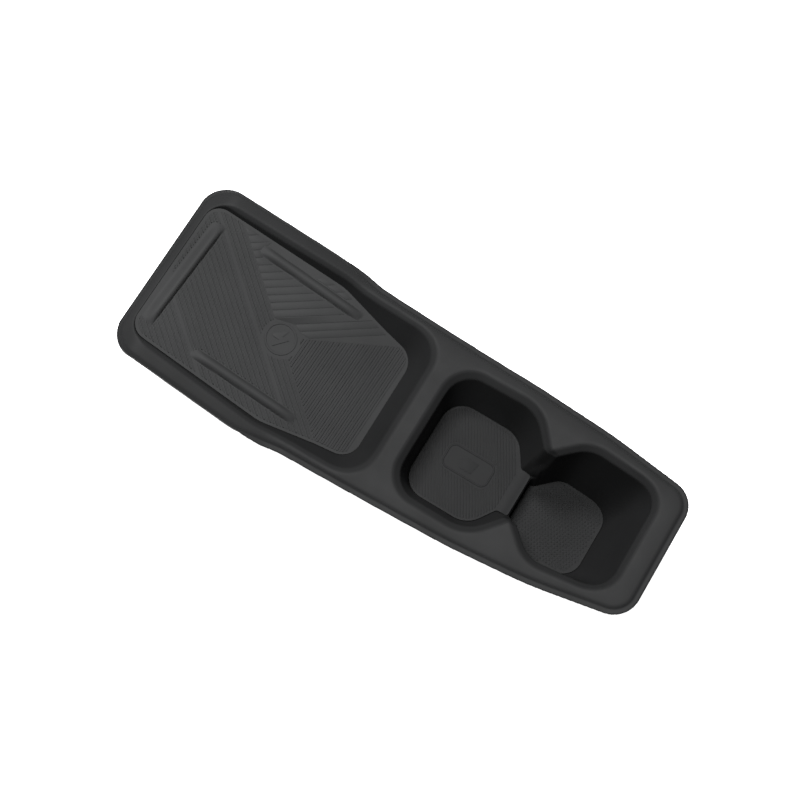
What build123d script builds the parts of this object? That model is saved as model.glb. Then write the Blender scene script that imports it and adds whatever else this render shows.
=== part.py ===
from build123d import *
from math import cos, radians, sin, tan
import os

# Moulded liner for a car's centre console: a sloping phone tray and two cup wells of
# different depth that meet in a narrow neck, with a loose mat in the tray and in each well.
# Millimetres. +X runs from the phone end to the cup end, +Y is across, +Z is up.
# The origin is under the middle of the liner, level with the underside of its deeper well.

# ---- driving dimensions ----
wall = 2.0                 # thickness of the moulding
length = 402.0             # overall, phone end to cup end
mat_gap = 0.4              # between a mat's edge and the wall round it
seat_gap = 0.05            # between a mat's underside and the floor it lies on

deck_low_x = -9.0          # where the deck is lowest
deck_low_z = 70.5
deck_radius = 1110.0       # the cup part's deck is a shallow hollow arc along X
rim_depth = 4.5            # how far the outer rim turns down below the deck
rim_roll = 4.0             # outside radius of the rolled rim
flange_width = 2.5         # thin lip round the foot of the cup part's rim
flange_thickness = 1.2
flange_start_x = -77.0

hinge_x = -74.0            # where the phone part starts to climb
hinge_blend = 60.0         # radius of the bend there
deck_slope = 14.0          # climb of the phone part's deck, in degrees
floor_slope = 17.0         # climb of the tray's floor, so the tray is shallower at the phone end
tray_foot = (-19.5, 44.1)  # X and Z of the phone mat's top at its lower end
tray_reach = 34.0          # height above the mat at which the tray's wider outline is given
end_lip = 10.0             # flat lip past the mat, at the phone end
end_drop = 11.0            # length over which the side decks come down to that lip

front_floor_z = 26.0       # inside floor of the shallow front well
front_rim_z = 72.0         # height at which its upper outline is given
rear_floor_z = wall        # inside floor of the deep rear well
rear_rim_z = 80.0
neck_x = 97.0              # edge of the front well's floor, where it steps down

phone_mat_thickness = 2.0
cup_mat_thickness = 2.5
mark_height = 0.5          # height of the raised marks
bar_height = 3.5           # bars that stand up from the phone mat
bar_width = 7.5
bar_length = 87.0
bar_middle_x = -107.0
bar_rows_y = (46.0, -43.0)
stop_bar = (84.0, 8.0)     # length and width of the bar across the phone end
stop_bar_x = -182.5
stop_bar_turn = -3.0       # it isn't quite square across, in degrees


def deck_z(x):
    """Height of the cup part's deck."""
    return deck_low_z + deck_radius - (deck_radius**2 - (x - deck_low_x) ** 2) ** 0.5


# ---- places worked out from the driving dimensions ----
phone_end_x = -length / 2
rim_end_x = length / 2 - flange_width
hinge_z = deck_z(hinge_x)
slope = radians(floor_slope)
tray_seat = -phone_mat_thickness - seat_gap

# The tray's own plane lies on the phone mat's top: X runs down the slope, Z is square to it.
tray_plane = Plane(
    origin=(hinge_x, 0, tray_foot[1] + (tray_foot[0] - hinge_x) * tan(slope)),
    x_dir=(cos(slope), 0, -sin(slope)),
    z_dir=(sin(slope), 0, cos(slope)),
)


def on_slope(x):
    """Distance down the slope, along the tray's floor, to the point at plan position x."""
    return (x - hinge_x) / cos(slope)


lip_end = on_slope(phone_end_x)
mat_end = lip_end + end_lip


# ---- plan outlines: the corners at positive Y, and the radius of each ----
rim_corners = [
    (phone_end_x, 69.9), (-96, 73.7), (-62, 67.9), (71, 63.2), (131, 58.4), (rim_end_x, 47.1),
]
rim_radii = [20, 60, 60, 300, 300, 17]

front_top = [(15, 50), (77, 50), (97.5, 25.5), (101, 25.5)]
front_floor = [(19, 38), (74, 38), (87.5, 17.5), (101, 17.0)]
front_top_radii = [20, 28, 3, 0.5]
front_floor_radii = [17, 20, 3, 0.5]
front_mat = front_floor[:3] + [(neck_x - 1.0, 17.2)]
front_mat_radii = [17, 20, 3, 2]

rear_top = [(neck_x, 25.5), (101.5, 25.5), (123, 45.5), (162, 41), (178.5, 36.5)]
rear_floor = [(neck_x, 16.0), (101.5, 17.0), (117, 32.0), (144, 30.5), (159, 26)]
rear_top_radii = [0.5, 3, 22, 20, 18]
rear_floor_radii = [0.5, 3, 15, 12, 15]
rear_mat = [(neck_x + 1.0, 16.2)] + rear_floor[1:]
rear_mat_radii = [2, 3, 15, 12, 15]

foot_end = on_slope(tray_foot[0])
tray_floor = [(mat_end, 54.0), (on_slope(-86), 57.3), (on_slope(-46), 48.5), (foot_end, 44.0)]
tray_floor_radii = [12, 40, 60, 15]
tray_top = [(mat_end - 8.3, 64.5), (on_slope(-92), 70.8), (on_slope(-46), 67.5), (foot_end + 8.3, 61.0)]
tray_top_radii = [14, 60, 60, 28]


def section(plane, corners, radii, grow=0.0):
    """Face on a plane: an outline symmetric about X, from its corners at positive Y."""
    mirrored = [(x, -y) for x, y in reversed(corners)]
    with BuildSketch(plane) as sketch:
        with BuildLine():
            FilletPolyline(*corners, *mirrored, radius=radii + radii[::-1], close=True)
        make_face()
        if grow:
            offset(amount=grow)
    return sketch.sketch


def below_deck(drop):
    """Side view of all that lies lower than the deck's top face lowered by drop."""
    lip = tray_plane.from_local_coords((mat_end, 0, 0))
    crest_x = lip.X + end_drop
    crest_z = hinge_z + (hinge_x - crest_x) * tan(radians(deck_slope))
    side = [(phone_end_x - 10, lip.Z), (lip.X, lip.Z), (crest_x, crest_z), (hinge_x, hinge_z)]
    side = [(x, z - drop) for x, z in side]
    end = (length / 2 + 1, deck_z(length / 2 + 1) - drop)
    middle = (deck_low_x, deck_low_z - drop)
    with BuildSketch(Plane.XZ) as sketch:
        with BuildLine():
            Polyline(*side)
            ThreePointArc(side[-1], middle, end)
            Polyline(end, (end[0], -20), (side[0][0], -20), side[0])
        make_face()
        bends = ((side[1], 6.0), (side[2], 9.0), (side[3], hinge_blend))
        for place, radius in bends:
            corner = sketch.vertices().sort_by_distance((*place, 0))[0]
            fillet(corner, radius)
    return sketch.sketch


def is_rim_edge(edge):
    """True for the edges where the deck's top face meets the outer side."""
    middle = edge.position_at(0.5)
    upright = abs(edge.tangent_at(0.5).Z) > 0.9 and edge.length > 30
    across = abs(middle.Y) < 1 and phone_end_x + 1 < middle.X < rim_end_x - 1
    return middle.Z > 10 and not upright and not across


def rim_block(grow, drop, roll):
    """Everything inside the rim's outline and under the lowered deck, its top edge rolled."""
    with BuildPart() as block:
        extrude(section(Plane.XY.offset(-20), rim_corners, rim_radii, grow), amount=170)
        extrude(below_deck(drop), amount=100, both=True, mode=Mode.INTERSECT)
        fillet(block.edges().filter_by(is_rim_edge), roll)
    return block.part


def tub(corners_low, radii_low, low_z, corners_high, radii_high, high_z, grow):
    """Drafted tub between two outlines, carried straight up past the deck."""
    with BuildPart() as block:
        low = section(Plane.XY.offset(low_z), corners_low, radii_low, grow)
        high = section(Plane.XY.offset(high_z), corners_high, radii_high, grow)
        loft([low, high], ruled=True)
        extrude(section(Plane.XY.offset(high_z), corners_high, radii_high, grow), amount=30)
    return block.part


def well(plans, floor_z, rim_z, grow):
    """The space inside a well, or its outer body when grown by the wall."""
    (low, low_radii), (high, high_radii) = plans
    return tub(low, low_radii, floor_z - grow, high, high_radii, rim_z, grow)


def tray(grow):
    """The space inside the phone tray, or its outer body when grown by the wall."""
    with BuildPart() as block:
        low = section(tray_plane.offset(tray_seat - grow), tray_floor, tray_floor_radii, grow)
        high = section(tray_plane.offset(tray_reach), tray_top, tray_top_radii, grow)
        loft([low, high], ruled=True)
    return block.part


# ---- console_liner: deck with a rolled rim, the tray, two wells and the rim's thin lip ----
front_plans = (front_floor, front_floor_radii), (front_top, front_top_radii)
rear_plans = (rear_floor, rear_floor_radii), (rear_top, rear_top_radii)

with BuildPart() as tub_bodies:
    add(tray(wall))
    add(well(front_plans, front_floor_z, front_rim_z, wall))
    add(well(rear_plans, rear_floor_z, rear_rim_z, wall))
    add(rim_block(0, 0, rim_roll), mode=Mode.INTERSECT)

with BuildPart() as lip_ring:
    extrude(section(Plane.XY, rim_corners, rim_radii, flange_width), amount=170)
    extrude(below_deck(rim_depth - flange_thickness), amount=100, both=True, mode=Mode.INTERSECT)
    extrude(below_deck(rim_depth), amount=100, both=True, mode=Mode.SUBTRACT)
    extrude(section(Plane.XY, rim_corners, rim_radii, -wall / 2), amount=170, mode=Mode.SUBTRACT)
    split(bisect_by=Plane.YZ.offset(flange_start_x), keep=Keep.TOP)

with BuildPart() as console_liner:
    add(rim_block(0, 0, rim_roll))
    extrude(below_deck(rim_depth), amount=100, both=True, mode=Mode.SUBTRACT)
    add(rim_block(-wall, wall, rim_roll - wall), mode=Mode.SUBTRACT)
    add(lip_ring.part)
    add(tub_bodies.part)
    add(tray(0), mode=Mode.SUBTRACT)
    add(well(front_plans, front_floor_z, front_rim_z, 0), mode=Mode.SUBTRACT)
    add(well(rear_plans, rear_floor_z, rear_rim_z, 0), mode=Mode.SUBTRACT)

# ---- phone_mat: lies in the tray, with two long bars, a stop bar and a raised mark ----
mat_normal = Axis(tray_plane.origin, tray_plane.z_dir)
bolt_middle = (on_slope(-104), 0)
bolt_outline = [(-6, 0.5), (2.5, 8), (0.5, 2), (6, 2), (-2.5, -8), (-0.5, -1.5), (-6, -1.5)]
ring_radius, ring_width = 12.0, 1.8

with BuildPart() as phone_mat:
    under = tray_plane.offset(-phone_mat_thickness)
    extrude(section(under, tray_floor, tray_floor_radii, -mat_gap), amount=phone_mat_thickness)
    with BuildSketch(tray_plane):
        with Locations(*[(on_slope(bar_middle_x), y) for y in bar_rows_y]):
            SlotOverall(bar_length, bar_width)
        with Locations((on_slope(stop_bar_x), 0)):
            SlotOverall(*stop_bar, rotation=90 + stop_bar_turn)
    extrude(amount=bar_height)
    bar_tops = phone_mat.faces().sort_by(mat_normal)[-3:]
    fillet(bar_tops.edges(), 1.5)
    with BuildSketch(tray_plane):
        with Locations(bolt_middle):
            Circle(ring_radius)
            Circle(ring_radius - ring_width, mode=Mode.SUBTRACT)
            with BuildLine():
                Polyline(*bolt_outline, close=True)
            make_face()
    extrude(amount=mark_height)


# ---- front_cup_mat and rear_cup_mat: lie on the floors of the two wells ----
front_mat_plane = Plane.XY.offset(front_floor_z + seat_gap)
front_mat_top = front_mat_plane.offset(cup_mat_thickness)
badge_x = 53.5
badge_size = (38, 20)

with BuildPart() as front_cup_mat:
    extrude(section(front_mat_plane, front_mat, front_mat_radii, -mat_gap), amount=cup_mat_thickness)
    fillet(front_cup_mat.faces().sort_by(Axis.Z)[-1].edges(), 0.8)
    with BuildSketch(front_mat_top):
        with Locations((badge_x, 0)):
            RectangleRounded(*badge_size, 6)
            RectangleRounded(badge_size[0] - 3, badge_size[1] - 3, 4.5, mode=Mode.SUBTRACT)
            Trapezoid(13, 10, 78)
    extrude(amount=mark_height)

with BuildPart() as rear_cup_mat:
    rear_mat_plane = Plane.XY.offset(rear_floor_z + seat_gap)
    extrude(section(rear_mat_plane, rear_mat, rear_mat_radii, -mat_gap), amount=cup_mat_thickness)
    fillet(rear_cup_mat.faces().sort_by(Axis.Z)[-1].edges(), 0.8)


# ---- one file for each piece ----
os.makedirs("parts", exist_ok=True)

console_liner.part.label = "console_liner"
export_step(console_liner.part, "parts/console_liner.step")

phone_mat.part.label = "phone_mat"
export_step(phone_mat.part, "parts/phone_mat.step")

front_cup_mat.part.label = "front_cup_mat"
export_step(front_cup_mat.part, "parts/front_cup_mat.step")

rear_cup_mat.part.label = "rear_cup_mat"
export_step(rear_cup_mat.part, "parts/rear_cup_mat.step")
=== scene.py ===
"""Looks of a soft moulded liner for a car's centre console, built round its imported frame.

Lengths are millimetres in the shapes and the camera, and metres in the materials, the floor
and the lights. Meshes are written in metres.
+X runs from the phone end to the cup end, +Y is across, +Z is up.
"""
from math import acos, atan2, cos, degrees, pi, radians, sin, tan

import bpy
import numpy as np
from mathutils import Matrix, Vector


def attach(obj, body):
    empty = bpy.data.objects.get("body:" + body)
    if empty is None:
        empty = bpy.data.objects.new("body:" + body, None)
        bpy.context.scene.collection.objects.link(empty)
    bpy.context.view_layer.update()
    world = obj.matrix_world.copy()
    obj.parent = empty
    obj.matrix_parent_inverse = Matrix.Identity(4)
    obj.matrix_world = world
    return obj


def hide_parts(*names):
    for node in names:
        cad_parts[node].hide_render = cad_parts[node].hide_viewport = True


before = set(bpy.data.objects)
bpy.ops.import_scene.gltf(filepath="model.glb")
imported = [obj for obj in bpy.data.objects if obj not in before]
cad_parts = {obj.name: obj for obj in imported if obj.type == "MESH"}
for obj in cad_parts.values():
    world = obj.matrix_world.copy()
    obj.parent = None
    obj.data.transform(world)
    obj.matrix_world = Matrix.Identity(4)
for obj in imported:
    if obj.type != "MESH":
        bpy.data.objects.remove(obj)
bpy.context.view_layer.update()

MM = 0.001

# ---- the liner's own sizes, as in the CAD part ----
WALL = 2.0
LENGTH = 402.0
MAT_GAP = 0.4
SEAT_GAP = 0.05
DECK_LOW_X, DECK_LOW_Z, DECK_RADIUS = -9.0, 70.5, 1110.0
RIM_DEPTH = 4.5
RIM_ROLL = 4.0
FLANGE_WIDTH = 2.5
HINGE_X = -74.0
DECK_SLOPE = radians(14)
TRAY_SLOPE = radians(17)
TRAY_FOOT = (-19.5, 44.1)
TRAY_REACH = 34.0
TRAY_END_RUN = 8.3           # how far the tray's end walls have leaned out at TRAY_REACH
END_LIP, END_DROP = 10.0, 11.0
FRONT_FLOOR_Z, FRONT_RIM_Z = 26.0, 72.0
REAR_FLOOR_Z, REAR_RIM_Z = WALL, 80.0
NECK_X = 97.0
PHONE_MAT_THICKNESS = 2.0
CUP_MAT_THICKNESS = 2.5

# ---- sizes that only the looks need ----
END_ROLL = 5.0               # the phone end rolls over more softly than the sides
LIP_BAND = 4.2               # width of the sloping band round the mouths of the wells
TRAY_BAND = 2.4              # and round the tray
LIP_TILT = radians(48)       # and how far it leans in
STEP_BAND = 1.2              # width of that band on the step low in the neck
CROWN, CROWN_WIDTH = 2.2, 16.0   # the deck bows down by this much towards its rim
BEND_SOFTNESS = 3.5          # how far the deck's bends are eased, as a spread along X
FLANGE_THICKNESS = 1.5
FLANGE_FADE = (-100.0, -74.0)  # the flange grows out of the rim between these places on X
CELL = 0.8   # size of the cells that the liner is meshed with
LINER_TRIANGLES = 190000
GRID_MARGIN, GRID_HALF_WIDTH, GRID_TOP = 3.0, 76.0, 102.0   # room for the grid of those cells
PROFILE_REACH = 240          # the deck's profile is worked out this far each way along X
END_ROLL_RUN = (-172.0, 24.0)   # X where the softer roll starts to grow in, and its run
END_BAND = 0.3               # width of the tray's band at the mat's end
TRAY_BAND_RUN = (2.0, 18.0)  # how far from there it starts to widen, and over what run
WELL_BAND_RISE = (30.0, 22.0)   # height where the step's band starts to widen, and its rise
TRAY_LEAN = 0.95             # about the cosine of the lean of the tray's walls
TRAY_SHARE = 1.2             # they lean out up to this share of the height to TRAY_REACH
FLOOR_ROUND = 0.5            # radius where a wall meets a floor
SKIRT_INSET = 3.2            # the rim's skirt is cut to its depth within this much of the rim
SKIRT_GROWTH = 1.3           # growth of that depth and inset for each mm of softer roll
SKIRT_ROUND = 0.7            # radius of the skirt's lower edge
FLANGE_ROUND, FLANGE_ROOT = 0.6, 1.5   # the flange's edge radius, and its reach in under the rim
FLANGE_HIDDEN = 0.4          # where it has faded out, it ends this far inside the rim
MAT_CELL = 0.65
MAT_EDGE = 0.25              # radius of a mat's upper edge
TRAY_FLARE, CUP_FLARE = 0.3, 0.1   # how far a mat's sides lean out, as the walls round it do

PHONE_END_X = -LENGTH / 2
RIM_END_X = LENGTH / 2 - FLANGE_WIDTH


def deck_z(x):
    """Height of the cup part's deck."""
    return DECK_LOW_Z + DECK_RADIUS - np.sqrt(DECK_RADIUS**2 - (x - DECK_LOW_X) ** 2)


HINGE_Z = float(deck_z(HINGE_X))
FLOOR_HINGE_Z = TRAY_FOOT[1] + (TRAY_FOOT[0] - HINGE_X) * tan(TRAY_SLOPE)
TRAY_SEAT = -PHONE_MAT_THICKNESS - SEAT_GAP


def on_slope(x):
    """Distance down the slope, along the tray's floor, to the point at plan position x."""
    return (x - HINGE_X) / cos(TRAY_SLOPE)


def from_slope(s, y, n):
    """Part-frame place of a point s down the slope, y across and n square to it."""
    x = HINGE_X + s * cos(TRAY_SLOPE) + n * sin(TRAY_SLOPE)
    z = FLOOR_HINGE_Z - s * sin(TRAY_SLOPE) + n * cos(TRAY_SLOPE)
    return np.stack(np.broadcast_arrays(x, y, z), -1)


LIP_END = on_slope(PHONE_END_X)
MAT_END = LIP_END + END_LIP

# ---- plan outlines: the corners at positive Y, and the radius of each ----
RIM = [(PHONE_END_X, 69.9), (-96, 73.7), (-62, 67.9), (71, 63.2), (131, 58.4), (RIM_END_X, 47.1)]
RIM_RADII = [20, 60, 60, 300, 300, 17]
FRONT_TOP = [(15, 50), (77, 50), (97.5, 25.5), (101, 25.5)]
FRONT_TOP_RADII = [20, 28, 3, 0.5]
FRONT_FLOOR = [(19, 38), (74, 38), (87.5, 17.5), (101, 17.0)]
FRONT_FLOOR_RADII = [17, 20, 3, 0.5]
FRONT_MAT = FRONT_FLOOR[:3] + [(NECK_X - 1.0, 17.2)]
FRONT_MAT_RADII = [17, 20, 3, 2]
REAR_TOP = [(NECK_X, 25.5), (101.5, 25.5), (123, 45.5), (162, 41), (178.5, 36.5)]
REAR_TOP_RADII = [0.5, 3, 22, 20, 18]
REAR_FLOOR = [(NECK_X, 16.0), (101.5, 17.0), (117, 32.0), (144, 30.5), (159, 26)]
REAR_FLOOR_RADII = [0.5, 3, 15, 12, 15]
REAR_MAT = [(NECK_X + 1.0, 16.2)] + REAR_FLOOR[1:]
REAR_MAT_RADII = [2, 3, 15, 12, 15]
FOOT_END = on_slope(TRAY_FOOT[0])
TRAY_FLOOR = [(MAT_END, 54.0), (on_slope(-86), 57.3), (on_slope(-46), 48.5), (FOOT_END, 44.0)]
TRAY_FLOOR_RADII = [12, 40, 60, 15]
TRAY_TOP = [(MAT_END - TRAY_END_RUN, 64.5), (on_slope(-92), 70.8), (on_slope(-46), 67.5),
            (FOOT_END + TRAY_END_RUN, 61.0)]
TRAY_TOP_RADII = [14, 60, 60, 28]


# ---------------------------------------------------------------- outlines and fields
def rounded_outline(corners, radii, grow=0.0, mirror=True):
    """Points round a closed outline, symmetric about X, with its corners rounded."""
    if mirror:
        corners = list(corners) + [(x, -y) for x, y in reversed(corners)]
        radii = list(radii) + list(reversed(radii))
    points = np.array(corners, float)
    following = np.roll(points, -1, 0)
    turning = np.sum(points[:, 0] * following[:, 1] - following[:, 0] * points[:, 1])
    loop = []
    for i, radius in enumerate(radii):
        here, before, after = points[i], points[i - 1], points[(i + 1) % len(points)]
        back = (before - here) / np.linalg.norm(before - here)
        ahead = (after - here) / np.linalg.norm(after - here)
        half = acos(np.clip(back @ ahead, -1, 1)) / 2
        bulge = np.sign(ahead[0] * back[1] - ahead[1] * back[0]) * np.sign(turning)
        middle = (back + ahead) / np.linalg.norm(back + ahead)
        centre = here + middle * radius / sin(half)
        start, end = (here + d * radius / tan(half) - centre for d in (back, ahead))
        first, last = atan2(start[1], start[0]), atan2(end[1], end[0])
        sweep = (last - first + pi) % (2 * pi) - pi
        steps = max(2, int(abs(degrees(sweep)) / 6) + 1)
        for k in range(steps + 1):
            angle = first + sweep * k / steps
            reach = radius + bulge * grow
            loop.append(centre + reach * np.array([cos(angle), sin(angle)]))
    return np.array(loop)


def outline_distance(x, y, loop):
    """Distance from each point to an outline, negative inside it."""
    x, y = np.broadcast_arrays(x, y)
    nearest = np.full(x.shape, 1e12)
    inside = np.zeros(x.shape, bool)
    for (ax, ay), (bx, by) in zip(loop, np.roll(loop, -1, 0)):
        ex, ey = bx - ax, by - ay
        share = np.clip(((x - ax) * ex + (y - ay) * ey) / max(ex * ex + ey * ey, 1e-12), 0, 1)
        nearest = np.minimum(nearest, (x - ax - share * ex) ** 2 + (y - ay - share * ey) ** 2)
        if ey:
            inside ^= ((ay > y) != (by > y)) & (x < ax + (y - ay) * ex / ey)
    return np.where(inside, -1, 1) * np.sqrt(nearest)


def round_max(a, b, radius):
    """The greater of two fields, with the edge where they meet rounded."""
    corner = np.hypot(np.maximum(a + radius, 0), np.maximum(b + radius, 0))
    return np.minimum(np.maximum(a, b), -radius) + corner


def ease(share):
    """Smooth step from 0 to 1."""
    share = np.clip(share, 0, 1)
    return share * share * (3 - 2 * share)


def deck_profile(x):
    """Height of the deck's top face at each x, and the cosine of its slope there."""
    step, spread = 0.25, 60     # the profile's spacing, and how many steps a bend is eased over
    fine = np.arange(-PROFILE_REACH, PROFILE_REACH, step)
    lip_x, _, lip_z = from_slope(MAT_END, 0, 0)
    crest_x = lip_x + END_DROP
    crest_z = HINGE_Z + (HINGE_X - crest_x) * tan(DECK_SLOPE)
    climb = np.interp(fine, [lip_x, crest_x, HINGE_X], [lip_z, crest_z, HINGE_Z])
    height = np.where(fine < HINGE_X, climb, deck_z(fine))
    offsets = np.arange(-spread, spread + 1) * step
    weights = np.exp(-0.5 * (offsets / BEND_SOFTNESS) ** 2)
    height = np.convolve(np.pad(height, spread, mode="edge"), weights / weights.sum(), "valid")
    slope = np.gradient(height, fine)
    return np.interp(x, fine, height), 1 / np.sqrt(1 + np.interp(x, fine, slope) ** 2)


def well_space(x, y, z, floor, floor_radii, top, top_radii, floor_z, rim_z):
    """Field of the space inside a cup well: negative inside."""
    low = outline_distance(x, y, rounded_outline(floor, floor_radii))
    high = outline_distance(x, y, rounded_outline(top, top_radii))
    share = np.clip((z - floor_z) / (rim_z - floor_z), 0, 1)
    return round_max(low + share * (high - low), floor_z - z, FLOOR_ROUND)


def tray_space(x, y, z):
    """Field of the space inside the phone tray, and the distance down its slope."""
    s = (x - HINGE_X) * cos(TRAY_SLOPE) - (z - FLOOR_HINGE_Z) * sin(TRAY_SLOPE)
    n = (x - HINGE_X) * sin(TRAY_SLOPE) + (z - FLOOR_HINGE_Z) * cos(TRAY_SLOPE)
    places = np.arange(MAT_END - 60, 160, 0.5)    # down the slope, past both ends of the tray
    plans = []
    for corners, radii in ((TRAY_FLOOR, TRAY_FLOOR_RADII), (TRAY_TOP, TRAY_TOP_RADII)):
        table = outline_distance(places[:, None], y[0, :, 0][None], rounded_outline(corners, radii))
        plans.append(np.stack([np.interp(s[:, 0], places, column) for column in table.T], 1))
    share = np.clip((n - TRAY_SEAT) / (TRAY_REACH - TRAY_SEAT), 0, TRAY_SHARE)
    walls = (plans[0] + share * (plans[1] - plans[0])) * TRAY_LEAN
    return round_max(walls, TRAY_SEAT - n, FLOOR_ROUND), s


def open_mouth(solid, space, band):
    """Cuts a space out of a solid, with a sloping band round its mouth.

    The band's own edges are rounded in proportion to its width."""
    slope = solid * cos(LIP_TILT) - space * sin(LIP_TILT) + band * sin(LIP_TILT)
    return round_max(round_max(solid, slope, 0.3 * band), -space, 0.2 + 0.1 * band)


def liner_field(cell):
    """Signed field of the whole moulding on a grid of cells, and the grid's first corner."""
    first_x, last_x = PHONE_END_X - GRID_MARGIN, LENGTH / 2 + GRID_MARGIN
    x = np.arange(first_x, last_x, cell, dtype=np.float32)[:, None, None]
    y = ((np.arange(int(GRID_HALF_WIDTH / cell)) + 0.5) * cell).astype(np.float32)[None, :, None]
    z = np.arange(-GRID_MARGIN, GRID_TOP, cell, dtype=np.float32)[None, None, :]
    height, upright = deck_profile(x)
    above = z - height
    rim = outline_distance(x[..., 0], y[..., 0], rounded_outline(RIM, RIM_RADII))[..., None]
    roll = RIM_ROLL + (END_ROLL - RIM_ROLL) * ease((END_ROLL_RUN[0] - x) / END_ROLL_RUN[1])
    crown = CROWN * np.clip(1 + rim / CROWN_WIDTH, 0, 1) ** 2
    solid = round_max(rim, above * upright + crown, roll)

    tray, s = tray_space(x, y, z)
    grown = ease((s - MAT_END - TRAY_BAND_RUN[0]) / TRAY_BAND_RUN[1])
    solid = open_mouth(solid, tray, END_BAND + (TRAY_BAND - END_BAND) * grown)
    risen = ease((z - WELL_BAND_RISE[0]) / WELL_BAND_RISE[1])
    band = STEP_BAND + (LIP_BAND - STEP_BAND) * risen
    for floor, floor_radii, top, top_radii, floor_z, rim_z in (
        (FRONT_FLOOR, FRONT_FLOOR_RADII, FRONT_TOP, FRONT_TOP_RADII, FRONT_FLOOR_Z, FRONT_RIM_Z),
        (REAR_FLOOR, REAR_FLOOR_RADII, REAR_TOP, REAR_TOP_RADII, REAR_FLOOR_Z, REAR_RIM_Z),
    ):
        space = well_space(x, y, z, floor, floor_radii, top, top_radii, floor_z, rim_z)
        solid = open_mouth(solid, space, band)

    shell = np.maximum(solid, -(solid + WALL))
    flange_share = ease((x - FLANGE_FADE[0]) / (FLANGE_FADE[1] - FLANGE_FADE[0]))
    more_roll = roll - RIM_ROLL
    skirt = RIM_DEPTH + CROWN * (1 - flange_share) + SKIRT_GROWTH * more_roll
    skirt_foot = np.minimum(-(above + skirt), rim + SKIRT_INSET + SKIRT_GROWTH * more_roll)
    shell = round_max(shell, skirt_foot, SKIRT_ROUND)
    reach = -FLANGE_HIDDEN + (FLANGE_WIDTH + FLANGE_HIDDEN) * flange_share
    slab = np.abs(above + RIM_DEPTH - FLANGE_THICKNESS / 2) - FLANGE_THICKNESS / 2
    flange = np.maximum(round_max(rim - reach, slab, FLANGE_ROUND), -(rim + FLANGE_ROOT))
    field = np.minimum(shell, flange).astype(np.float32)
    field = np.concatenate([field[:, ::-1], field], 1)
    return field, np.array([x[0, 0, 0], -y[0, -1, 0], z[0, 0, 0]])


# ---------------------------------------------------------------- meshes
def sample(field, places):
    """Value and slope of a gridded field at places given in cells."""
    low = np.clip(np.floor(places).astype(int), 0, np.array(field.shape) - 2)
    f = places - low
    value = np.zeros(len(places))
    slope = np.zeros((len(places), 3))
    for i in (0, 1):
        for j in (0, 1):
            for k in (0, 1):
                v = field[low[:, 0] + i, low[:, 1] + j, low[:, 2] + k]
                w = [f[:, 0] if i else 1 - f[:, 0], f[:, 1] if j else 1 - f[:, 1]]
                w.append(f[:, 2] if k else 1 - f[:, 2])
                value += v * w[0] * w[1] * w[2]
                slope[:, 0] += v * (2 * i - 1) * w[1] * w[2]
                slope[:, 1] += v * (2 * j - 1) * w[0] * w[2]
                slope[:, 2] += v * (2 * k - 1) * w[0] * w[1]
    return value, slope


def surface_of(field, origin, cell):
    """Points and four-sided faces of the surface where a gridded field is zero."""
    inside = field < 0
    shape = np.array(field.shape) - 1
    corners = [(i, j, k) for i in (0, 1) for j in (0, 1) for k in (0, 1)]
    some = np.zeros(shape, bool)
    every = np.ones(shape, bool)
    for i, j, k in corners:
        part = inside[i:shape[0] + i, j:shape[1] + j, k:shape[2] + k]
        some |= part
        every &= part
    cells = np.argwhere(some & ~every)
    number = np.full(shape, -1, np.int32)
    number[tuple(cells.T)] = np.arange(len(cells))
    values = np.stack([field[tuple((cells + c).T)] for c in corners], 1)
    total = np.zeros((len(cells), 3))
    count = np.zeros(len(cells))
    for a in range(8):
        for bit in (4, 2, 1):
            if a & bit:
                continue
            va, vb = values[:, a], values[:, a | bit]
            cut = (va < 0) != (vb < 0)
            share = np.where(cut, va / np.where(cut, va - vb, 1), 0)
            step = np.array(corners[a | bit]) - np.array(corners[a])
            total += (np.array(corners[a]) + share[:, None] * step) * cut[:, None]
            count += cut
    places = cells + total / count[:, None]
    # the points are drawn onto the surface in three short, damped steps
    for _ in range(3):
        value, slope = sample(field, places)
        steep = np.maximum((slope**2).sum(1), 1e-4)
        move = -slope * (value / steep)[:, None]
        places += np.clip(move, -0.35, 0.35) * 0.8

    faces = []
    for axis in range(3):
        second, third = (axis + 1) % 3, (axis + 2) % 3
        turned = np.moveaxis(inside, (axis, second, third), (0, 1, 2))
        ids = np.moveaxis(number, (axis, second, third), (0, 1, 2))
        here, there = turned[:-1, 1:-1, 1:-1], turned[1:, 1:-1, 1:-1]
        i, j, k = np.nonzero(here != there)
        quad = np.stack([ids[i, j, k], ids[i, j + 1, k], ids[i, j + 1, k + 1], ids[i, j, k + 1]], 1)
        flip = ~here[i, j, k]
        quad[flip] = quad[flip][:, ::-1]
        faces.append(quad)
    return origin + places * cell, np.concatenate(faces)


def make_piece(name, points, faces):
    """A mesh object from points in millimetres."""
    mesh = bpy.data.meshes.new(name)
    mesh.from_pydata((np.asarray(points) * MM).tolist(), [], [list(f) for f in faces])
    mesh.validate()
    mesh.update()
    piece = bpy.data.objects.new(name, mesh)
    bpy.context.scene.collection.objects.link(piece)
    return piece


def apply_modifiers(piece):
    """Replaces a piece's mesh by what its modifiers make of it."""
    evaluated = piece.evaluated_get(bpy.context.evaluated_depsgraph_get())
    mesh = bpy.data.meshes.new_from_object(evaluated)
    piece.modifiers.clear()
    piece.data = mesh


def make_liner():
    field, origin = liner_field(CELL)
    points, faces = surface_of(field, origin, CELL)
    piece = make_piece("liner_moulding", points, faces)
    if 2 * len(faces) > LINER_TRIANGLES:
        thin = piece.modifiers.new("thin", "DECIMATE")
        thin.ratio = LINER_TRIANGLES / (2 * len(faces))
        apply_modifiers(piece)
    piece.data.shade_smooth()
    return piece


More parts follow.
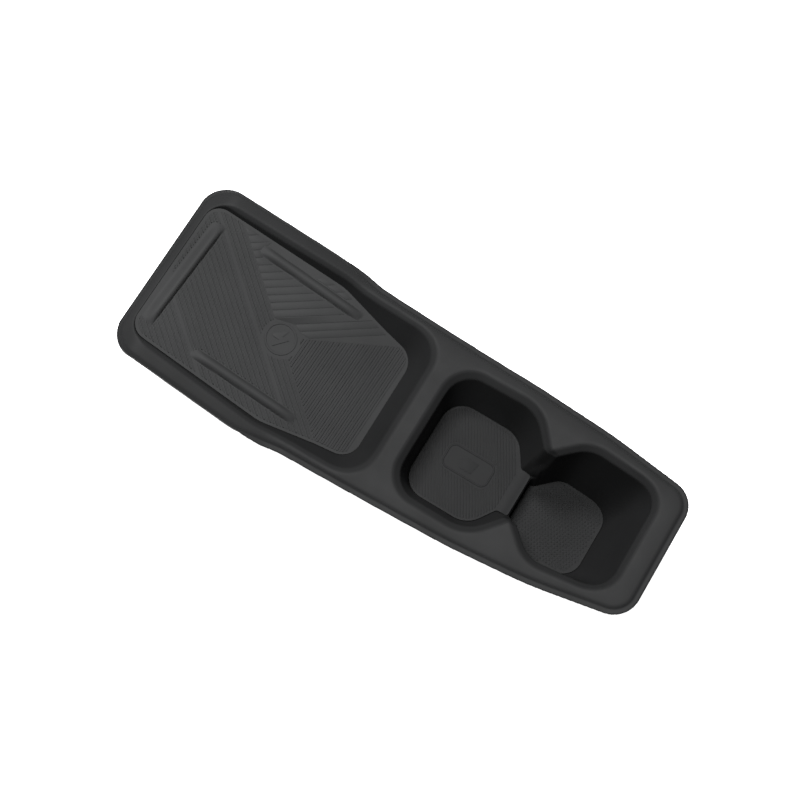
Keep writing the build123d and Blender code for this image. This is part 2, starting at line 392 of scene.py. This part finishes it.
def edge_drop(inward, radius):
    """How far a rounded edge lies below the face, at a distance in from the outline."""
    short = np.clip(radius - inward, 0, radius)
    return radius - np.sqrt(radius**2 - short**2)


def mat_body(corners, radii, thickness, flare, height):
    """Points (across a flat plane, heights from the underside) and faces of a mat.

    Rows run across, and each is as wide as the outline, so its edges are clean. The sides
    lean out by the flare, as the walls round a mat do."""
    loop = rounded_outline(corners, radii, flare)
    upper = loop[loop[:, 1] > 0]
    upper = upper[np.argsort(upper[:, 0])]
    start, end = upper[0, 0], upper[-1, 0]
    near_edge = np.array([0, 0.12, 0.3, 0.55, 0.9]) * MAT_EDGE
    rows = np.concatenate([
        upper[:, 0], start + near_edge, end - near_edge,
        np.linspace(start, end, int((end - start) / MAT_CELL)),
    ])
    rows = np.unique(np.round(np.clip(rows, start, end), 3))
    keep = np.concatenate([[True], np.diff(rows) > 0.03])
    rows = rows[keep]
    rows[-1] = end
    widest = upper[:, 1].max()
    across = np.concatenate([
        -1 + near_edge / widest, 1 - near_edge / widest,
        np.linspace(-1, 1, int(2 * widest / MAT_CELL))[1:-1],
    ])
    across = np.unique(np.round(across, 5))
    half = np.interp(rows, upper[:, 0], upper[:, 1])
    x = np.repeat(rows[:, None], len(across), 1)
    y = half[:, None] * across[None]
    inward = np.maximum(-outline_distance(x, y, loop), 0)
    z = thickness - edge_drop(inward, MAT_EDGE) + height(x, y)
    points = np.stack([x, y, z], -1).reshape(-1, 3)
    ids = np.arange(len(points)).reshape(x.shape)
    faces = np.stack([ids[:-1, :-1], ids[1:, :-1], ids[1:, 1:], ids[:-1, 1:]], -1).reshape(-1, 4).tolist()
    ring = np.concatenate([ids[:, 0], ids[-1, 1:], ids[-2::-1, -1], ids[0, -2:0:-1]])
    first = len(points)
    foot = points[ring].copy()
    foot[:, 2] = 0
    nudge = 0.05
    grad = [
        outline_distance(foot[:, 0] + dx, foot[:, 1] + dy, loop)
        - outline_distance(foot[:, 0] - dx, foot[:, 1] - dy, loop)
        for dx, dy in ((nudge, 0), (0, nudge))
    ]
    outward = np.stack(grad, 1)
    outward /= np.maximum(np.linalg.norm(outward, axis=1, keepdims=True), 1e-9)
    foot[:, :2] -= outward * (MAT_GAP + flare)
    points = np.concatenate([points, foot])
    count = len(ring)
    for k in range(count):
        after = (k + 1) % count
        faces.append([ring[after], ring[k], first + k, first + after])
    faces.append([first + k for k in range(count)])
    return points, faces


def prism(outline, inset_outline, foot, top, bevel_drop):
    """Closed raised shape on an outline, its top a smaller outline: points and faces."""
    count = len(outline)
    levels = [(outline, foot), (outline, top - bevel_drop), (inset_outline, top)]
    points = [(x, y, z) for ring, z in levels for x, y in ring]
    faces = [list(reversed(range(count)))]
    for level in range(2):
        for k in range(count):
            after = (k + 1) % count
            low, high = level * count, (level + 1) * count
            faces.append([low + k, low + after, high + after, high + k])
    faces.append([2 * count + k for k in range(count)])
    return points, faces


def hollow_prism(outer, inner, width_cut, foot, top):
    """Closed raised ring between two outlines with as many points each."""
    count = len(outer)
    outer, inner = np.array(outer), np.array(inner)
    crown_out = outer + (inner - outer) * width_cut
    crown_in = inner + (outer - inner) * width_cut
    low = top - 0.5 * (top - max(foot, 0))
    levels = [(outer, foot), (outer, low), (crown_out, top), (crown_in, top), (inner, low), (inner, foot)]
    points = [(x, y, z) for ring, z in levels for x, y in ring]
    faces = []
    for level in range(6):
        for k in range(count):
            after = (k + 1) % count
            a, b = level * count, (level + 1) % 6 * count
            faces.append([a + k, a + after, b + after, b + k])
    return points, faces


SHORTEST_RIB = 1.6
MOST_SLANT = 6               # rib widths by which the two edges of a rib may end apart


def rib_quads(angle, pitch, width, allowed, reach, middle, shift=0.0, step=0.25):
    """Corners of every rib along one direction that lies where it is allowed.

    Both edges of a rib are cut on their own, so its ends follow the region's border."""
    along = np.array([cos(angle), sin(angle)])
    square = np.array([-along[1], along[0]])
    travel = np.arange(-reach, reach, step)

    def runs(offset):
        line = middle + square * offset + along * travel[:, None]
        ok = allowed(line[:, 0], line[:, 1]).astype(int)
        change = np.flatnonzero(np.diff(np.concatenate([[0], ok, [0]])))
        return [(travel[a], travel[b - 1]) for a, b in zip(change[::2], change[1::2])]

    quads = []
    for k in range(-int(reach / pitch), int(reach / pitch) + 1):
        offset = k * pitch + shift
        left, right = runs(offset + width / 2), runs(offset - width / 2)
        for a0, a1 in right:
            partners = [(max(a0, b0) - min(a1, b1), b0, b1) for b0, b1 in left if b0 < a1 and a0 < b1]
            if not partners:
                continue
            _, b0, b1 = min(partners)
            apart = max(abs(a0 - b0), abs(a1 - b1))
            if min(a1 - a0, b1 - b0) < SHORTEST_RIB or apart > MOST_SLANT * width:
                continue
            low, high = middle + square * (offset - width / 2), middle + square * (offset + width / 2)
            quads.append([low + along * a0, low + along * a1, high + along * b1, high + along * b0])
    return quads


def inset_quad(quad, amount):
    """A rib's corners moved in by an amount from each of its sides."""
    quad = np.array(quad)
    moved = []
    for k in range(4):
        here = quad[k]
        back, ahead = quad[k - 1] - here, quad[(k + 1) % 4] - here
        back, ahead = back / np.linalg.norm(back), ahead / np.linalg.norm(ahead)
        turn = abs(back[0] * ahead[1] - back[1] * ahead[0])
        moved.append(here + (back + ahead) * amount / max(turn, 0.35))
    return np.array(moved)


def gather(parts):
    """One list of points and faces from several."""
    points, faces = [], []
    for some_points, some_faces in parts:
        base = len(points)
        points.extend(tuple(p) for p in np.asarray(some_points).tolist())
        faces.extend([base + i for i in face] for face in some_faces)
    return np.array(points), faces


def ribs_on(quads, top, height, bevel):
    """Raised ribs standing on a face at the height top."""
    parts = []
    for quad in quads:
        crown = inset_quad(quad, bevel)
        parts.append(prism(quad, crown, top - RIB_ROOT, top + height, bevel_drop=height * 0.45))
    return parts


# ---------------------------------------------------------------- the three mats
BAR_HEIGHT, BAR_WIDTH, BAR_LENGTH = 3.5, 7.5, 87.0
BAR_MIDDLE = on_slope(-107)
BAR_ROWS_Y = (46.0, -43.0)
BAR_FADE, STOP_FADE = 16.0, 14.0   # length over which a bar's end sinks to the mat
BAR_END = 6.0                      # from a bar's end to the centre of the round that ribs clear
STOP_LENGTH, STOP_WIDTH, STOP_TURN = 88.0, 9.5, radians(-3)
STOP_MIDDLE = on_slope(-182.5)
MARK_MIDDLE = (on_slope(-104), 0.0)
MARK_RADIUS, MARK_STROKE, MARK_HEIGHT = 12.0, 1.8, 0.5
MARK_TAPER = 0.93            # a solid mark's top, as a share of its foot
# corners of the bolt in the ring, from the ring's middle
BOLT = [(-6, 0.5), (2.5, 8), (0.5, 2), (6, 2), (-2.5, -8), (-0.5, -1.5), (-6, -1.5)]
TRAY_RIB_PITCH, TRAY_RIB_WIDTH = 1.9, 1.0
BAND_PITCH, BAND_WIDTH = 5.4, 4.8
RIB_HEIGHT, LOW_RIB_HEIGHT, BAND_HEIGHT = 0.75, 0.45, 0.3
RIB_BEVEL, CUP_RIB_BEVEL = 0.2, 0.25
RIB_ROOT = 0.3               # how deep ribs and marks reach into the mat under them
TRAY_MARGIN, CUP_MARGIN = 1.8, 1.6    # plain edge round the ribs of a mat
BAR_MARGIN, MARK_MARGIN, BADGE_MARGIN = 1.0, 2.5, 1.0   # and round what stands among them
SECTOR_GAP = 0.3             # on each side of a line between two sectors
SECTOR_MIDDLE = np.array([on_slope(-105), 1.0])   # where the three sectors of ribs meet
RIB_ANGLES = {"end": radians(-38.7), "far": radians(37.5), "cup": radians(88.5)}
SECTOR_ANGLES = (RIB_ANGLES["end"] + pi, radians(30), RIB_ANGLES["end"])


def bar_heights(s, y):
    """Height of the three bars above the phone mat, and the distance outside their feet."""
    total = np.zeros(np.shape(s))
    outside = np.full(np.shape(s), 1e3)
    for row in BAR_ROWS_Y:
        along, square = s - BAR_MIDDLE, (y - row) / (BAR_WIDTH / 2)
        near_end = np.abs(along) - (BAR_LENGTH / 2 - BAR_FADE)
        fade = 1 - np.clip(near_end / BAR_FADE, 0, 1) ** 2
        total += BAR_HEIGHT * fade * np.clip(1 - square**2, 0, 1) ** 0.8
        run = np.maximum(np.abs(along) - (BAR_LENGTH / 2 - BAR_END), 0)
        outside = np.minimum(outside, np.hypot(run, y - row) - BAR_WIDTH / 2)
    turn = pi / 2 + STOP_TURN
    ds, dy = s - STOP_MIDDLE, y
    along = ds * cos(turn) + dy * sin(turn)
    square = (ds * sin(turn) - dy * cos(turn)) / (STOP_WIDTH / 2)
    near_end = np.abs(along) - (STOP_LENGTH / 2 - STOP_FADE)
    fade = 1 - np.clip(near_end / STOP_FADE, 0, 1) ** 2
    crest = 0.35
    rise = ease((square + 1) / (1 + crest)) * 0.9 + 0.1 * np.clip((square + 1) / (1 + crest), 0, 1)
    fall = np.clip(1 - ((square - crest) / (1 - crest)) ** 2, 0, 1) ** 0.7
    profile = np.where(np.abs(square) < 1, np.where(square < crest, rise, fall), 0)
    total += BAR_HEIGHT * fade * profile
    run = np.maximum(np.abs(along) - (STOP_LENGTH / 2 - BAR_END), 0)
    outside = np.minimum(outside, np.hypot(run, square * STOP_WIDTH / 2) - STOP_WIDTH / 2)
    return total, outside


def sector(s, y):
    """0 for the phone-end ribs, 1 for the bands on the far side, 2 for the cup-end ribs."""
    angle = np.arctan2(y - SECTOR_MIDDLE[1], s - SECTOR_MIDDLE[0])
    a, b, c = SECTOR_ANGLES
    return np.where((angle < a) & (angle > b), 1, np.where((angle <= b) & (angle > c), 2, 0))


def border_gap(s, y):
    """Distance from a point to the nearest line between two sectors."""
    gap = np.full(np.shape(s), 1e3)
    for angle in SECTOR_ANGLES:
        d = np.array([cos(angle), sin(angle)])
        ds, dy = s - SECTOR_MIDDLE[0], y - SECTOR_MIDDLE[1]
        off = np.abs(ds * d[1] - dy * d[0])
        gap = np.where(ds * d[0] + dy * d[1] > 0, np.minimum(gap, off), gap)
    return gap


def make_phone_mat():
    loop = rounded_outline(TRAY_FLOOR, TRAY_FLOOR_RADII)
    top = PHONE_MAT_THICKNESS

    def height(s, y):
        return bar_heights(s, y)[0]

    parts = [mat_body(TRAY_FLOOR, TRAY_FLOOR_RADII, top, TRAY_FLARE, height)]

    def allowed(number, gap):
        def test(s, y):
            clear = outline_distance(s, y, loop) < -TRAY_MARGIN
            clear &= bar_heights(s, y)[1] > BAR_MARGIN
            clear &= np.hypot(s - MARK_MIDDLE[0], y - MARK_MIDDLE[1]) > MARK_RADIUS + MARK_MARGIN
            return clear & (sector(s, y) == number) & (border_gap(s, y) > gap)
        return test

    fine, half = 2 * TRAY_RIB_PITCH, TRAY_RIB_PITCH / 2
    for number, name, pitch, width, shift, rise in (
        (0, "end", fine, TRAY_RIB_WIDTH, half, RIB_HEIGHT),
        (0, "end", fine, TRAY_RIB_WIDTH, -half, LOW_RIB_HEIGHT),
        (1, "far", BAND_PITCH, BAND_WIDTH, 0.0, BAND_HEIGHT),
        (2, "cup", fine, TRAY_RIB_WIDTH, half, RIB_HEIGHT),
        (2, "cup", fine, TRAY_RIB_WIDTH, -half, LOW_RIB_HEIGHT),
    ):
        test = allowed(number, SECTOR_GAP)
        angle = RIB_ANGLES[name]
        quads = rib_quads(angle, pitch, width, test, reach=180, middle=SECTOR_MIDDLE, shift=shift)
        parts += ribs_on(quads, top, rise, RIB_BEVEL)

    turns = np.linspace(0, 2 * pi, 97)[:-1]
    circle = np.stack([np.cos(turns), np.sin(turns)], 1)
    middle = np.array(MARK_MIDDLE)
    parts.append(hollow_prism(middle + circle * MARK_RADIUS,
                              middle + circle * (MARK_RADIUS - MARK_STROKE),
                              width_cut=0.2, foot=top - RIB_ROOT, top=top + MARK_HEIGHT))
    bolt = np.array(BOLT, float)
    bolt = bolt[::-1] if np.cross(bolt, np.roll(bolt, -1, 0)).sum() < 0 else bolt
    bolt_top = middle + bolt * MARK_TAPER
    parts.append(prism(middle + bolt, bolt_top, top - RIB_ROOT, top + MARK_HEIGHT, bevel_drop=0.2))
    points, faces = gather(parts)
    placed = from_slope(points[:, 0], points[:, 1], points[:, 2] - PHONE_MAT_THICKNESS)
    return make_piece("phone_tray_mat", placed, faces)


CUP_RIB_ANGLE = radians(-58.8)
CUP_RIB_PITCH, CUP_RIB_WIDTH, CUP_RIB_HEIGHT = 2.1, 1.2, 0.4
BADGE_X, BADGE_SIZE = 53.5, (38.0, 20.0)
BADGE_ROUND, BADGE_STROKE = 6.0, 1.5
CUP_NOSE_X, CUP_NOSE_RUN, CUP_NOSE_DROP = 88.0, 8.0, 0.9   # the front mat bends down to the step
CUP_RIBS_END_X = 86.0
REAR_MIDDLE = np.array([128.0, 0.0])
DASH_PITCH, DASH_GAP = 3.0, 0.8         # the rear mat's ribs are broken into dashes


def rounded_rectangle(x, width, depth, radius):
    corners = [(x - width / 2, depth / 2), (x + width / 2, depth / 2)]
    return rounded_outline(corners, [radius, radius])


def make_front_cup_mat():
    loop = rounded_outline(FRONT_MAT, FRONT_MAT_RADII)
    top = CUP_MAT_THICKNESS

    def height(x, y):
        nose = ease((x - CUP_NOSE_X) / CUP_NOSE_RUN)
        return -CUP_NOSE_DROP * nose**2

    parts = [mat_body(FRONT_MAT, FRONT_MAT_RADII, top, CUP_FLARE, height)]
    badge = rounded_rectangle(BADGE_X, *BADGE_SIZE, BADGE_ROUND)

    def allowed(x, y):
        clear = outline_distance(x, y, loop) < -CUP_MARGIN
        return clear & (outline_distance(x, y, badge) > BADGE_MARGIN) & (x < CUP_RIBS_END_X)

    middle = np.array([BADGE_X, 0.0])
    quads = rib_quads(CUP_RIB_ANGLE, CUP_RIB_PITCH, CUP_RIB_WIDTH, allowed, reach=90, middle=middle)
    parts += ribs_on(quads, top, CUP_RIB_HEIGHT, CUP_RIB_BEVEL)
    inside = (BADGE_SIZE[0] - 2 * BADGE_STROKE, BADGE_SIZE[1] - 2 * BADGE_STROKE)
    inner = rounded_rectangle(BADGE_X, *inside, BADGE_ROUND - BADGE_STROKE)
    foot, crest = top - RIB_ROOT, top + MARK_HEIGHT
    parts.append(hollow_prism(badge[::-1], inner[::-1], width_cut=0.3, foot=foot, top=crest))
    cup = np.array([(-6.5, 4.5), (-4.5, -5), (4.5, -5), (6.5, 4.5)]) + middle
    cup_top = (cup - cup.mean(0)) * MARK_TAPER + cup.mean(0)
    parts.append(prism(cup, cup_top, foot, crest, bevel_drop=0.15))
    points, faces = gather(parts)
    points[:, 2] += FRONT_FLOOR_Z + SEAT_GAP
    return make_piece("front_cup_floor_mat", points, faces)


def make_rear_cup_mat():
    loop = rounded_outline(REAR_MAT, REAR_MAT_RADII)
    top = CUP_MAT_THICKNESS

    def height(x, y):
        return np.zeros(np.shape(x))

    parts = [mat_body(REAR_MAT, REAR_MAT_RADII, top, CUP_FLARE, height)]
    along = np.array([cos(CUP_RIB_ANGLE), sin(CUP_RIB_ANGLE)])
    middle = REAR_MIDDLE

    def allowed(x, y):
        clear = outline_distance(x, y, loop) < -CUP_MARGIN
        offset = (x - middle[0]) * -along[1] + (y - middle[1]) * along[0]
        travel = (x - middle[0]) * along[0] + (y - middle[1]) * along[1]
        row = np.round(offset / CUP_RIB_PITCH)
        return clear & ((travel + DASH_PITCH / 2 * (row % 2)) % DASH_PITCH > DASH_GAP)

    quads = rib_quads(CUP_RIB_ANGLE, CUP_RIB_PITCH, CUP_RIB_WIDTH, allowed,
                      reach=60, middle=middle, step=0.2)
    parts += ribs_on(quads, top, CUP_RIB_HEIGHT, CUP_RIB_BEVEL)
    points, faces = gather(parts)
    points[:, 2] += REAR_FLOOR_Z + SEAT_GAP
    return make_piece("rear_cup_floor_mat", points, faces)


# ---------------------------------------------------------------- materials
def rubber(name, tone, roughness, grain):
    """Matte moulded rubber: an even dark tone, fine grain, and slightly uneven gloss."""
    material = bpy.data.materials.new(name)
    material.use_nodes = True
    nodes, links = material.node_tree.nodes, material.node_tree.links
    shader = nodes["Principled BSDF"]
    place = nodes.new("ShaderNodeTexCoord").outputs["Object"]

    def noise(scale, detail):
        node = nodes.new("ShaderNodeTexNoise")
        node.inputs["Scale"].default_value = scale
        node.inputs["Detail"].default_value = detail
        links.new(place, node.inputs["Vector"])
        return node.outputs["Fac"]

    cloud = noise(scale=18.0, detail=4.0)
    tint = nodes.new("ShaderNodeValToRGB")
    tint.color_ramp.elements[0].position = 0.3
    tint.color_ramp.elements[1].position = 0.7
    tint.color_ramp.elements[0].color = (*[c * 0.9 for c in tone], 1)
    tint.color_ramp.elements[1].color = (*[c * 1.1 for c in tone], 1)
    links.new(cloud, tint.inputs["Fac"])
    speck = noise(scale=2600.0, detail=2.0)
    fleck = nodes.new("ShaderNodeMapRange")
    fleck.inputs["To Min"].default_value = 0.8
    fleck.inputs["To Max"].default_value = 1.2
    links.new(speck, fleck.inputs["Value"])
    shade = nodes.new("ShaderNodeMix")
    shade.data_type = "RGBA"
    shade.blend_type = "MULTIPLY"
    shade.inputs["Factor"].default_value = 1.0
    links.new(tint.outputs["Color"], shade.inputs["A"])
    links.new(fleck.outputs["Result"], shade.inputs["B"])
    links.new(shade.outputs["Result"], shader.inputs["Base Color"])

    gloss = nodes.new("ShaderNodeMapRange")
    gloss.inputs["To Min"].default_value = roughness - 0.06
    gloss.inputs["To Max"].default_value = roughness + 0.06
    links.new(noise(scale=60.0, detail=3.0), gloss.inputs["Value"])
    links.new(gloss.outputs["Result"], shader.inputs["Roughness"])
    shader.inputs["Specular IOR Level"].default_value = 0.12

    bump = nodes.new("ShaderNodeBump")
    bump.inputs["Strength"].default_value = 0.25
    bump.inputs["Distance"].default_value = 0.0001
    links.new(noise(scale=grain, detail=3.0), bump.inputs["Height"])
    links.new(bump.outputs["Normal"], shader.inputs["Normal"])
    return material


liner_look = rubber("liner_rubber_look", (0.0185, 0.0188, 0.0192), 0.6, 1800.0)
phone_mat_look = rubber("phone_mat_rubber_look", (0.036, 0.0365, 0.037), 0.66, 2400.0)
cup_mat_look = rubber("cup_mat_rubber_look", (0.0185, 0.0188, 0.0192), 0.68, 2400.0)

for build, body, node, slot, look in (
    (make_liner, "liner", "console_liner", "liner_rubber", liner_look),
    (make_phone_mat, "phone_mat_body", "phone_mat", "phone_mat_rubber", phone_mat_look),
    (make_front_cup_mat, "front_cup_mat_body", "front_cup_mat", "cup_mat_rubber", cup_mat_look),
    (make_rear_cup_mat, "rear_cup_mat_body", "rear_cup_mat", "cup_mat_rubber", cup_mat_look),
):
    piece = build()
    piece.data.materials.clear()
    piece.data.materials.append(look)
    if node != "console_liner":
        piece.data.shade_smooth()
        piece.data.set_sharp_from_angle(angle=radians(38))
    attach(piece, body)
    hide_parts(node)
    print(piece.name, "faces", len(piece.data.polygons))


# ---------------------------------------------------------------- floor, light and camera
FLOOR_REACH, FLOOR_CLEARANCE = 40.0, 0.0006      # in metres


def plain_floor():
    mesh = bpy.data.meshes.new("floor")
    reach = FLOOR_REACH
    corners = [(-reach, -reach, 0), (reach, -reach, 0), (reach, reach, 0), (-reach, reach, 0)]
    mesh.from_pydata(corners, [], [(0, 1, 2, 3)])
    floor = bpy.data.objects.new("floor", mesh)
    floor.location.z = -FLOOR_CLEARANCE
    bpy.context.scene.collection.objects.link(floor)
    material = bpy.data.materials.new("pale_floor")
    material.use_nodes = True
    shader = material.node_tree.nodes["Principled BSDF"]
    shader.inputs["Base Color"].default_value = (0.8, 0.8, 0.8, 1)
    shader.inputs["Roughness"].default_value = 0.9
    shader.inputs["Specular IOR Level"].default_value = 0.1
    shader.inputs["Emission Color"].default_value = (1, 1, 1, 1)
    shader.inputs["Emission Strength"].default_value = 1.15
    mesh.materials.append(material)


def soft_light(name, place, target, size, power):
    light = bpy.data.lights.new(name, "AREA")
    light.shape = "DISK"
    light.size = size
    light.energy = power
    lamp = bpy.data.objects.new(name, light)
    lamp.location = place
    lamp.rotation_euler = (Vector(target) - Vector(place)).to_track_quat("-Z", "Y").to_euler()
    bpy.context.scene.collection.objects.link(lamp)


plain_floor()
world = bpy.data.worlds.new("soft_room")
world.use_nodes = True
world.node_tree.nodes["Background"].inputs["Color"].default_value = (1, 1, 1, 1)
world.node_tree.nodes["Background"].inputs["Strength"].default_value = 0.03
bpy.context.scene.world = world
soft_light("key", (-0.55, 0.5, 1.7), (-0.05, 0, 0.05), size=0.45, power=24)
soft_light("top", (-0.2, -0.15, 1.9), (-0.05, 0, 0.05), size=0.45, power=30)
bpy.context.scene.view_settings.view_transform = "Standard"

TARGET = Vector((-9.0, 5.85, 70.5)) * MM
DISTANCE = 1076.1 * MM
LOOK = Vector((-0.1075, 0.2285, -0.9676)).normalized()
LONG_WAY = Vector((0.9942, 0.0198, -0.1057))    # where the liner's length points in the view
ROLL = radians(31)                              # and how far it leans down to the right
long_way = (LONG_WAY - LOOK * LONG_WAY.dot(LOOK)).normalized()
across = LOOK.cross(long_way)
right = long_way * cos(ROLL) - across * sin(ROLL)
down = long_way * sin(ROLL) + across * cos(ROLL)
lens = bpy.data.cameras.new("camera")
lens.sensor_width = 36
lens.lens = 69.2
camera = bpy.data.objects.new("camera", lens)
turn = Matrix((right, -down, -LOOK)).transposed().to_4x4()
camera.matrix_world = Matrix.Translation(TARGET - LOOK * DISTANCE) @ turn
bpy.context.scene.collection.objects.link(camera)
bpy.context.scene.camera = camera
